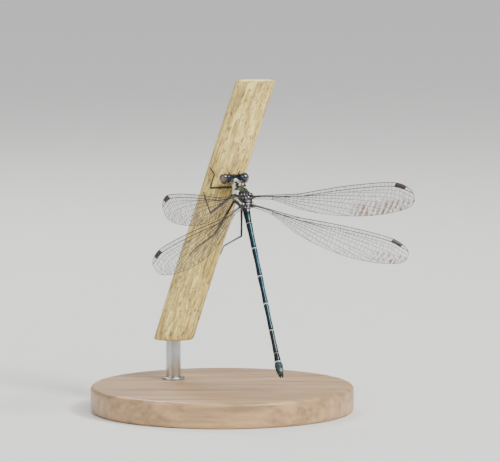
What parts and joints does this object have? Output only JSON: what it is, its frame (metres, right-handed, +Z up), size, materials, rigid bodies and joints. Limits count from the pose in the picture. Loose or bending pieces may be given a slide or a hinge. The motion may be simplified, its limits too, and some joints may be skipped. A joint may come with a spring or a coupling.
{
  "type": "damselfly",
  "caption": "Damselfly with open veined wings and a slim ringed abdomen, gripping a cut length of dry stem on a round display stand.",
  "frame": {"origin": "centre of the underside of the stand's round base", "axes": "+Z up, +X towards the insect's right wings, -Y towards the side that it is looked at from, where its left wings and its tail point"},
  "size_m": [0.0567, 0.0465, 0.057],
  "materials": {
    "metallic_body": "glossy metallic blue-green over black",
    "thorax": "bronze-green with powdery white patches",
    "eye": "glossy dark brown to blue-black, finely faceted",
    "leg": "satin black",
    "wing": "clear glossy membrane with dark veins",
    "stem": "dry pale tan, matt and fibrous",
    "stand_wood": "satin light wood",
    "stand_metal": "brushed"
  },
  "bodies": {
    "root": {"abdomen_1": "metallic_body", "abdomen_10": "metallic_body", "abdomen_2": "metallic_body", "abdomen_3": "metallic_body", "abdomen_4": "metallic_body", "abdomen_5": "metallic_body", "abdomen_6": "metallic_body", "abdomen_7": "metallic_body", "abdomen_8": "metallic_body", "abdomen_9": "metallic_body", "antenna_left": "metallic_body", "antenna_right": "metallic_body", "appendage_left": "metallic_body", "appendage_right": "metallic_body", "eye_left": "eye", "eye_right": "eye", "head": "metallic_body", "leg_left_fore_shin": "leg", "leg_left_fore_thigh": "leg", "leg_left_hind_shin": "leg", "leg_left_hind_thigh": "leg", "leg_left_mid_shin": "leg", "leg_left_mid_thigh": "leg", "leg_right_fore_shin": "leg", "leg_right_fore_thigh": "leg", "leg_right_hind_shin": "leg", "leg_right_hind_thigh": "leg", "leg_right_mid_shin": "leg", "leg_right_mid_thigh": "leg", "perch_stem": "stem", "prothorax": "thorax", "stand_base": "stand_wood", "stand_rod": "stand_metal", "synthorax": "thorax", "wing_fore_left": "wing", "wing_fore_right": "wing", "wing_hind_left": "wing", "wing_hind_right": "wing"}
  },
  "joints": []
}
